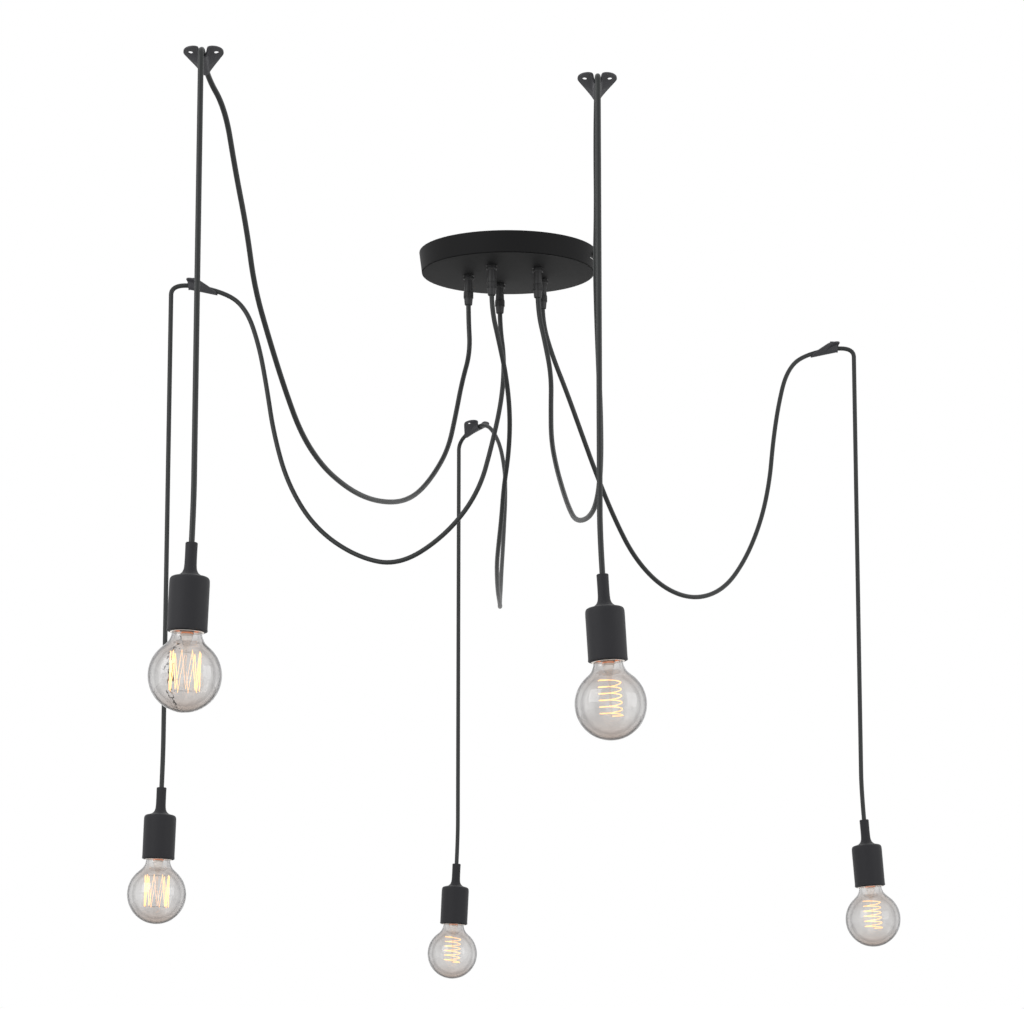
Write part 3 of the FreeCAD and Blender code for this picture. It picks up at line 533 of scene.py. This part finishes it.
def hang_cords():
    for number in LAMPS:
        swag = cord_curve("swag_line_%d" % number, SWAGS[number])
        finished(swag, "root", "cord_rubber", "swag_cord_%d" % number)
        drop = cord_curve("drop_line_%d" % number, DROPS[number])
        finished(drop, "pendant_%d" % number, "cord_rubber", "drop_cord_%d" % number)


FLOOR_REACH = 5.0
FLOOR_AT = -2.2


def set_camera_and_lights():
    data = bpy.data.cameras.new("photo_camera")
    data.sensor_width = 36.0
    data.lens = 131.836
    camera = bpy.data.objects.new("photo_camera", data)
    camera.location = (0.0054, -4.9445, -1.28)
    camera.rotation_euler = (math.radians(100.677), 0, 0)
    bpy.context.scene.collection.objects.link(camera)
    bpy.context.scene.camera = camera

    lights = [
        ("left_softbox", (-2.6, -2.4, 0.5), 2.2, 34.0),
        ("right_softbox", (2.8, -1.6, -0.2), 1.8, 16.0),
        ("low_front_fill", (0.2, -3.4, -1.9), 1.6, 9.0),
    ]
    for name, place, size, power in lights:
        lamp = bpy.data.lights.new(name, "AREA")
        lamp.size = size
        lamp.energy = power
        holder = bpy.data.objects.new(name, lamp)
        holder.location = place
        aim = Vector((0, 0, -0.45)) - Vector(place)
        holder.rotation_euler = aim.to_track_quat("-Z", "Y").to_euler()
        bpy.context.scene.collection.objects.link(holder)

    world = bpy.data.worlds.new("white_studio")
    bpy.context.scene.world = world
    world.use_nodes = True
    sky = Graph(world.node_tree)
    seen = sky.node("ShaderNodeLightPath", {}, {}, "Is Camera Ray")
    for ray in ("Is Glossy Ray", "Is Transmission Ray"):
        seen = seen.most(sky.node("ShaderNodeLightPath", {}, {}, ray))
    backdrop = world.node_tree.nodes["Background"]
    backdrop.inputs["Color"].default_value = (1, 1, 1, 1)
    sky.give(backdrop.inputs["Strength"], 0.55 + seen * 0.45)
    bpy.context.scene.view_settings.view_transform = "Standard"

    floor = bpy.data.meshes.new("pale_floor")
    corners = ((-1, -1), (1, -1), (1, 1), (-1, 1))
    floor.from_pydata([(x * FLOOR_REACH, y * FLOOR_REACH, FLOOR_AT) for x, y in corners], [], [(0, 1, 2, 3)])
    ground = bpy.data.objects.new("pale_floor", floor)
    bpy.context.scene.collection.objects.link(ground)
    floor.materials.append(Finish("pale_floor", (0.82, 0.82, 0.81), 0.9).material)


# Canopy and grips in millimetres and degrees
COVER_RADIUS = 120.0
COVER_HIGH = 32.0
COVER_WALL = 1.2
COVER_EDGE = 4.0
GRIP_CIRCLE = 54.0
FIRST_GRIP = 30.0


def make_canopy():
    inside, ceiling = COVER_RADIUS - COVER_WALL, COVER_WALL - COVER_HIGH
    cover = spin(rounded([
        (inside, 0, 0), (COVER_RADIUS, 0, 0.5), (COVER_RADIUS, -COVER_HIGH, COVER_EDGE), (0, -COVER_HIGH, 0),
        (0, ceiling, 0), (inside, ceiling, COVER_EDGE - COVER_WALL)], 8), 192)
    finished(shown("canopy_cover_shell", cover), "root", "canopy_paint", "canopy_cover")


def grip_places():
    angles = [math.radians(FIRST_GRIP + 72 * i) for i in range(5)]
    return [(GRIP_CIRCLE * math.cos(angle), GRIP_CIRCLE * math.sin(angle)) for angle in angles]


def grip_ribs():
    """Ribs around the clamping nut, in the grip's own frame: its middle line is Z, the ceiling is 0."""
    recipe = Recipe("grip_ribs", {
        "Ribs": 18, "Nut radius": 0.0061, "Rib radius": 0.00055, "Rib length": 0.0082, "Rib top": -0.0538})
    ribs = recipe.input("Ribs")
    points = recipe.node("GeometryNodeMeshLine", {}, {"Count": ribs, "Offset": (0, 0, 0)})
    rib = recipe.node("GeometryNodeMeshCylinder", {}, {
        "Vertices": 10, "Radius": recipe.input("Rib radius"), "Depth": recipe.input("Rib length")}, "Mesh")
    drop = recipe.input("Rib top") - recipe.input("Rib length") * 0.5
    rib = recipe.node("GeometryNodeTransform", {}, {
        "Geometry": rib, "Translation": recipe.vector(recipe.input("Nut radius"), 0.0, drop)})
    turn = recipe.node("GeometryNodeInputIndex", {}, {}) * (2 * math.pi) / ribs
    placed = recipe.node("GeometryNodeInstanceOnPoints", {}, {
        "Points": points, "Instance": rib, "Rotation": recipe.vector(0.0, 0.0, turn)})
    return recipe.bake(placed, FINISHES["grip_plastic"])


def make_grips():
    body = spin(rounded([
        (1.7, -61.0, 0), (4.5, -61.0, 0), (4.5, -53.0, 0), (5.5, -53.0, 0.5), (5.5, -36.0, 0.4),
        (7.0, -36.0, 0.8), (7.0, -COVER_HIGH, 0), (5.0, -COVER_HIGH, 0), (5.0, -24.3, 0.5),
        (1.7, -24.3, 0)]), 48)
    nut = spin(rounded([
        (3.55, -71.0, 0), (4.4, -71.0, 0.3), (5.1, -67.2, 1.4), (6.1, -62.4, 1.2), (6.1, -53.3, 0.5),
        (4.8, -53.3, 0), (4.8, -61.3, 0), (3.55, -61.3, 0)]), 48)
    ribs = grip_ribs()
    bodies, nuts = [], []
    for x, y in grip_places():
        shift = Matrix.Translation((x * MM, y * MM, 0))
        for source, pile in ((body, bodies), (nut, nuts), (ribs, nuts)):
            copy = source.copy()
            copy.transform(shift)
            pile.append(copy)
    finished(shown("grip_bodies_turned", joined(bodies)), "root", "grip_plastic", "grip_bodies")
    finished(shown("grip_nuts_ribbed", joined(nuts)), "root", "grip_plastic", "grip_nuts")


# Heart-shaped hook plate in millimetres and degrees, X along the cord and the ceiling at Z = 0: two
# lobes, a tip and a round channel down the middle. It leans about the cord at the notch, its tip
# lower, as far as its swing joint's axis does. The wings make an even V at the tip and level out
# toward the lobes
LOBE = 12.0
LOBE_AT = (9.0, 10.5)
TIP = 4.5
TIP_AT = -17.5
NOTCH_SHARE = 0.3
NOTCH = ((20.4, 5.4), (20.1, 4.6), (18.8, 3.9), (17.6, 2.4), (17.3, 0.0))
SCREW_AT = (9.0, 14.5)
SCREW_SLOT = (2.4, 2.7)
SLOT_POINTS = 24
BOSS_TOP = 1.6
BOSS_RING = (3.3, 5.5)
BOSS_ARC_FROM = 55
BOSS_ARC_STEP = 7
BOSS_SINK = 0.4
CHANNEL = 5.6
CHANNEL_AT = -7.9
WING_EDGE = 22.5
WING_DROP = 1.1
SLOPE_SHARE = 0.92
WALL_SHARE = 0.96
TIP_BEND = 30.0
LOBE_BEND = 0.9
LOBES_FROM = -4.0
LOBES_RUN = 19.0
PLATE = 1.8
CORD_AT_NOTCH = (18.0, -6.885)
FINE_ROW = 0.55
WIDE_ROW = 1.4
FIRST_WIDE_ROW = 5.9


def heart_outline():
    """Outline of the plate: from the tip round one lobe to the notch, and its mirror image back."""
    lobe, tip = Vector(LOBE_AT), Vector((TIP_AT, 0))
    gap = lobe - tip
    lean = math.atan2(gap.y, gap.x) + math.acos((TIP - LOBE) / gap.length)
    notch = math.asin(LOBE_AT[1] / LOBE) * NOTCH_SHARE
    half = [tip + Vector((math.cos(a), math.sin(a))) * TIP
            for a in (math.pi + (lean - math.pi) * k / 8 for k in range(9))]
    outward = Vector((math.cos(lean), math.sin(lean)))
    half += [tip + gap * (k / 8) + outward * (TIP + (LOBE - TIP) * k / 8) for k in range(1, 8)]
    half += [lobe + Vector((math.cos(a), math.sin(a))) * LOBE
             for a in (lean + (-notch - lean) * k / 20 for k in range(21))]
    half += [Vector(p) for p in NOTCH]
    return half + [Vector((p.x, -p.y)) for p in half[-2:0:-1]]


def section_height(y, bend):
    """Height of the upper face of a plate that doesn't lean, across the channel. A small bend makes
    steep walls and level wings, and a large one an even V."""
    y = abs(y)
    slope = math.atan2(-CHANNEL_AT, WING_EDGE - CHANNEL) * SLOPE_SHARE
    inner = CHANNEL - PLATE
    joint = inner * math.cos(slope) * WALL_SHARE
    if y < joint:
        return CHANNEL_AT - math.sqrt(max(inner * inner - y * y, 0.0))
    start = CHANNEL_AT - math.sqrt(inner * inner - joint * joint)
    rise = (-WING_DROP - start) / (1 - math.exp((joint - WING_EDGE) / bend))
    return start + rise * (1 - math.exp((joint - y) / bend))


def plate_height(x, y, slope):
    """Height of the upper face of the leaning plate, level at the lobes and an even V at the tip."""
    turn_x, turn_z = CORD_AT_NOTCH
    stretch = math.hypot(1.0, slope)
    share = min(max((x - LOBES_FROM) / LOBES_RUN, 0.0), 1.0)
    share *= share * (3.0 - 2.0 * share)
    level = section_height(y, TIP_BEND) * (1.0 - share) + section_height(y, LOBE_BEND) * share
    return turn_z + (level - turn_z) * stretch + (x - turn_x) * slope


def boss_wall(side, facing, slope):
    """One of the two curved walls around a screw's way, from the ceiling down onto the plate."""
    angles = [math.radians(facing * (BOSS_ARC_FROM + BOSS_ARC_STEP * k)) for k in range(11)]
    inner, outer = BOSS_RING
    ring = [(outer, a) for a in angles] + [(inner, a) for a in reversed(angles)]
    shape = bmesh.new()
    top, low = [], []
    for reach, angle in ring:
        x = SCREW_AT[0] + reach * math.cos(angle)
        y = side * SCREW_AT[1] + reach * math.sin(angle)
        top.append(shape.verts.new(Vector((x, y, -BOSS_TOP)) * MM))
        low.append(shape.verts.new(Vector((x, y, plate_height(x, y, slope) - BOSS_SINK)) * MM))
    for k in range(len(ring)):
        shape.faces.new((top[k - 1], top[k], low[k], low[k - 1]))
    for face in (top, low):
        for k in range(len(angles) - 1):
            shape.faces.new((face[k], face[k + 1], face[-k - 2], face[-k - 1]))
    bmesh.ops.recalc_face_normals(shape, faces=shape.faces)
    mesh = bpy.data.meshes.new("boss_wall")
    shape.to_mesh(mesh)
    shape.free()
    return mesh


def in_slot(spot):
    """Tells whether a place on the plate lies in one of its two screw slots."""
    across = (spot.x - SCREW_AT[0]) / SCREW_SLOT[0]
    along = (abs(spot.y) - SCREW_AT[1]) / SCREW_SLOT[1]
    return across * across + along * along < 1.0


def hook_mesh(slope):
    """Upper face of the plate, cut out at both slots, on a grid that is finer near the channel."""
    loops = [heart_outline()]
    for side in (-1, 1):
        middle = Vector((SCREW_AT[0], side * SCREW_AT[1]))
        loops.append([middle + Vector((math.cos(a) * SCREW_SLOT[0], math.sin(a) * SCREW_SLOT[1]))
                      for a in (2 * math.pi * k / SLOT_POINTS for k in range(SLOT_POINTS))])
    borders, edges = [], []
    for loop in loops:
        first = len(borders)
        borders += loop
        edges += [(first + k, first + (k + 1) % len(loop)) for k in range(len(loop))]
    rows = [FINE_ROW * k for k in range(-9, 10)]
    rows += [side * (FIRST_WIDE_ROW + WIDE_ROW * k) for side in (-1, 1) for k in range(12)]
    places = list(borders)
    for x in range(-22, 22):
        for y in rows:
            spot = Vector((x + 0.5, y))
            if not in_slot(spot) and all((spot - p).length > 0.6 for p in borders):
                places.append(spot)
    flat, _, faces, _, _, _ = delaunay_2d_cdt(places, edges, [], 2, 1e-4)
    middles = [sum((flat[i] for i in face), Vector((0.0, 0.0))) / len(face) for face in faces]
    faces = [face for face, middle in zip(faces, middles) if not in_slot(middle)]
    mesh = bpy.data.meshes.new("hook_plate")
    mesh.from_pydata([(p.x * MM, p.y * MM, plate_height(p.x, p.y, slope) * MM) for p in flat], [], faces)
    return mesh


def hook_body(slope):
    """Plate with its thickness and soft edges, and the walls of both screw bosses."""
    plate = shown("hook_plate", hook_mesh(slope))
    thick = plate.modifiers.new("thickness", "SOLIDIFY")
    thick.thickness = PLATE * MM
    thick.offset = -1.0
    thick.use_even_offset = True
    soft = plate.modifiers.new("soft_edges", "BEVEL")
    soft.width = 0.5 * MM
    soft.segments = 3
    soft.limit_method = "ANGLE"
    soft.angle_limit = math.radians(50)
    graph = bpy.context.evaluated_depsgraph_get()
    solid = bpy.data.meshes.new_from_object(plate.evaluated_get(graph))
    bpy.data.objects.remove(plate)
    walls = [boss_wall(side, facing, slope) for side in (-1, 1) for facing in (-1, 1)]
    return joined([solid] + walls)


def make_hooks():
    for number in LAMPS:
        axis = joints["pendant_swing_%d" % number]["axis"]
        mesh = hook_body(abs(axis[2]) / math.hypot(axis[0], axis[1]))
        place = hook_place(number)
        if number in NOTCH_AT_SWAG:
            place = place @ Matrix.Rotation(math.pi, 4, "Z")
        mesh.transform(place)
        finished(shown("hook_heart_%d" % number, mesh, 40.0), "root", "hook_plastic", "hook_%d" % number)


def make_lampholders():
    """Silicone sleeves: a slim neck, a flat shoulder and a body that widens a little to its mouth."""
    neck = [(6.75, -0.9), (6.65, -8.0), (6.65, -18.0), (6.8, -25.0), (7.4, -29.8), (9.0, -33.2),
            (11.9, -35.8)]
    shoulder = [(11.9, -35.8), (15.5, -36.9), (18.6, -37.7), (20.7, -39.0), (21.7, -41.3), (21.95, -44.5)]
    profile = [(3.55, 0.0), (6.0, 0.0)] + smooth_path(neck, 5) + smooth_path(shoulder, 5)[1:]
    profile += rounded([
        (22.0, -46.0, 0), (22.9, -93.5, 2.0), (22.4, -97.9, 1.4), (18.6, -97.9, 0.4), (18.6, -94.0, 0)], 4)
    profile += [(19.5, -92.8), (19.5, -46.3), (16.9, -43.7), (5.3, -43.7), (5.3, -11.7), (3.55, -11.7)]
    sleeve = spin(profile, 96)
    for number in LAMPS:
        copy = sleeve.copy()
        copy.transform(lamp_place(number))
        finished(shown("lampholder_sleeve_%d" % number, copy, 28.0), "pendant_%d" % number, "silicone",
                 "holder_sleeve_%d" % number)


def make_mouths():
    """White rim of each lampholder's mouth, and the copper inside it, both with a painted glow that stands in
    for the bulb's light.
    """
    rim = spin(rounded([
        (16.55, -96.4, 0), (18.4, -96.4, 0), (18.4, -97.85, 0.3), (16.55, -97.85, 0.3)], 4), 72)
    liner = spin([(16.65, -91.5), (16.9, -91.5), (16.9, -96.6), (16.65, -96.6)], 72)
    for number in LAMPS:
        for name, source, slot, finish in (("mouth_rim_%d", rim, "white_insulator", INSULATOR_PAINTED_GLOW),
                                           ("mouth_liner_%d", liner, "brass", COPPER_PAINTED_GLOW)):
            copy = source.copy()
            copy.transform(lamp_place(number))
            finished(shown(name % number, copy), "pendant_%d" % number, slot, finish=finish)


THREAD_PITCH = 3.62
THREAD_DEPTH = 0.9


def thread_swell(r, z, angle):
    """How far the screw cap's wall moves in for its thread."""
    if r < 12.0 or not -90.0 < z < -73.0:
        return 0.0
    turn = z / THREAD_PITCH * 2 * math.pi - angle
    return THREAD_DEPTH / 2 * (math.cos(turn) - 1.0)


def cap_mesh():
    wall = [(13.2, -91.6 + 0.4 * k) for k in range(49)]
    top = [(12.9, -71.6), (11.5, -70.2), (8.0, -68.16), (0, -68.16), (0, -68.6), (7.4, -68.6), (11.2, -70.8)]
    inside = [(12.0, -90.0 + 0.4 * k) for k in range(42, -1, -1)]
    return spin([(12.4, -91.6)] + wall + top + [(11.9, -72.0)] + inside, 72, thread_swell)


# Globe in millimetres, in the lamp's frame
GLOBE_RADIUS = 40.0
GLOBE_AT = -145.5
GLASS = 0.9


def globe_meshes():
    """Glass envelope, with the stem and its rod inside, in the lamp's frame."""
    neck = [(13.0, -91.7), (15.2, -93.6), (16.1, -96.0), (16.3, -98.2), (16.8, -102.3), (18.4, -106.6),
            (20.9, -110.4)]
    start = math.acos((-113.2 - GLOBE_AT) / GLOBE_RADIUS)
    ball = [(GLOBE_RADIUS * math.sin(a), GLOBE_AT + GLOBE_RADIUS * math.cos(a))
            for a in (start + (math.pi - start) * k / 44 for k in range(1, 45))]
    skin = smooth_path(neck + ball[:3], 4)[:-1] + ball[3:-1]
    skin.append((0.0, GLOBE_AT - GLOBE_RADIUS))
    inside = []
    for i, (r, z) in enumerate(skin):
        before, after = skin[max(i - 1, 0)], skin[min(i + 1, len(skin) - 1)]
        run = Vector((after[0] - before[0], after[1] - before[1]))
        side = Vector((-run.y, run.x)).normalized()
        if side.x > 0 or (r < 1 and side.y < 0):
            side = -side
        if r > 1e-6:
            inside.append((max(r + side.x * GLASS, 0.0), z + side.y * GLASS))
        else:
            inside.append((0.0, z + GLASS))
    envelope = spin(skin + inside[::-1], 96)
    flare = [(0.0, -92.2), (9.5, -92.4), (8.6, -95.0), (7.3, -99.0), (5.6, -106.0), (3.6, -112.5),
             (2.7, -117.6)]
    rod = [(1.3, -118.4), (1.3, -158.6), (0.0, -159.6)]
    return envelope, spin(smooth_path(flare, 4) + rod, 40)


# Cage filament in metres, in the lamp's frame
CAGE = {"Bends": 9, "Cage radius": 0.0165, "Cage height": 0.042, "Low": -0.162}


def cage_filament():
    recipe = Recipe("cage_filament", {**CAGE, "Wire radius": 0.00058})
    bends = recipe.input("Bends")
    ring = recipe.node("GeometryNodeMeshCircle", {}, {
        "Vertices": bends * 2, "Radius": recipe.input("Cage radius")})
    zigzag = recipe.node("GeometryNodeSetPosition", {}, {
        "Geometry": ring, "Offset": recipe.vector(0.0, 0.0, cage_lift(recipe))})
    loop = recipe.node("GeometryNodeMeshToCurve", {}, {"Mesh": zigzag})
    return recipe.bake(recipe.wire(loop, recipe.input("Wire radius")), FINISHES["filament_wire"])


def cage_lift(recipe):
    """Height of each bend of the cage: low and high by turns."""
    index = recipe.node("GeometryNodeInputIndex", {}, {})
    return recipe.input("Low") + recipe.input("Cage height") * (index % 2)


def cage_spokes():
    """Thin wires that hold the cage's bends on the glass rod."""
    recipe = Recipe("cage_spokes", {**CAGE, "Rod radius": 0.0012, "Support radius": 0.00008})
    bends = recipe.input("Bends")
    spots = recipe.node("GeometryNodeMeshLine", {}, {"Count": bends * 2, "Offset": (0, 0, 0)})
    spots = recipe.node("GeometryNodeSetPosition", {}, {
        "Geometry": spots, "Offset": recipe.vector(0.0, 0.0, cage_lift(recipe))})
    spoke = recipe.node("GeometryNodeCurvePrimitiveLine", {}, {
        "Start": recipe.vector(recipe.input("Rod radius"), 0.0, 0.0),
        "End": recipe.vector(recipe.input("Cage radius"), 0.0, 0.0)})
    spoke = recipe.wire(spoke, recipe.input("Support radius"))
    turn = recipe.node("GeometryNodeInputIndex", {}, {}) * math.pi / bends
    spokes = recipe.node("GeometryNodeInstanceOnPoints", {}, {
        "Points": spots, "Instance": spoke, "Rotation": recipe.vector(0.0, 0.0, turn)})
    return recipe.bake(spokes, SUPPORT_WIRE)


def coil_filament():
    recipe = Recipe("coil_filament", {
        "Turns": 5.5, "Coil radius": 0.0125, "Coil height": 0.0405, "Wire radius": 0.0005, "Low": -0.159,
        "Rod radius": 0.0012})
    spiral = recipe.node("GeometryNodeCurveSpiral", {}, {
        "Resolution": 36, "Rotations": recipe.input("Turns"), "Start Radius": recipe.input("Coil radius"),
        "End Radius": recipe.input("Coil radius"), "Height": recipe.input("Coil height"), "Reverse": False})
    hot = recipe.wire(spiral, recipe.input("Wire radius"))
    hot = recipe.node("GeometryNodeTransform", {}, {
        "Geometry": hot, "Translation": recipe.vector(0.0, 0.0, recipe.input("Low"))})
    arms = []
    for share, side in ((0.0, 1.0), (1.0, -1.0)):
        height = recipe.input("Low") + recipe.input("Coil height") * share
        arm = recipe.node("GeometryNodeCurvePrimitiveLine", {}, {
            "Start": recipe.vector(recipe.input("Rod radius") * side, 0.0, height),
            "End": recipe.vector(recipe.input("Coil radius") * side, 0.0, height)})
        arms.append(recipe.wire(arm, recipe.input("Wire radius")))
    return recipe.bake(recipe.join([hot] + arms), FINISHES["filament_wire"])


def make_bulbs():
    cap = cap_mesh()
    envelope, stem = globe_meshes()
    cage, spokes, coil = cage_filament(), cage_spokes(), coil_filament()
    for number in LAMPS:
        body = "bulb_%d" % number
        place = lamp_place(number)
        pieces = [
            ("bulb_screw_cap_%d", cap, "brass", TIN, ["bulb_cap_%d" % number]),
            ("bulb_envelope_%d", envelope, "clear_glass", None, ["bulb_glass_%d" % number]),
            ("bulb_stem_%d", stem, "clear_glass", STEM_GLASS, []),
            ("bulb_filament_%d", cage if number in CAGE_BULBS else coil, "filament_wire", None,
             ["filament_%d" % number]),
        ]
        if number in CAGE_BULBS:
            pieces.append(("bulb_spokes_%d", spokes, "filament_wire", SUPPORT_WIRE, []))
        for name, source, slot, finish, nodes in pieces:
            copy = source.copy()
            copy.transform(place)
            finished(shown(name % number, copy, 40.0), body, slot, *nodes, finish=finish)


def paint_kept_nodes():
    kept = {
        "ceiling_bracket": "plated_steel", "side_screws": "black_screw", "terminal_block": "terminal_plastic",
        "terminal_screws": "brass", "grip_locknuts": "grip_plastic",
    }
    for number in LAMPS:
        kept["holder_core_%d" % number] = "white_insulator"
        kept["cap_contact_%d" % number] = "brass"
    for name, slot in kept.items():
        set_finish(frame["nodes"][name], FINISHES[slot])
    for number in LAMPS:
        set_finish(frame["nodes"]["holder_contacts_%d" % number], COPPER)


def set_finish(node, finish):
    for place in node.material_slots:
        place.material = finish
    if not node.material_slots:
        node.data.materials.append(finish)


set_camera_and_lights()
hang_cords()
make_canopy()
make_grips()
make_hooks()
make_lampholders()
make_mouths()
make_bulbs()
paint_kept_nodes()
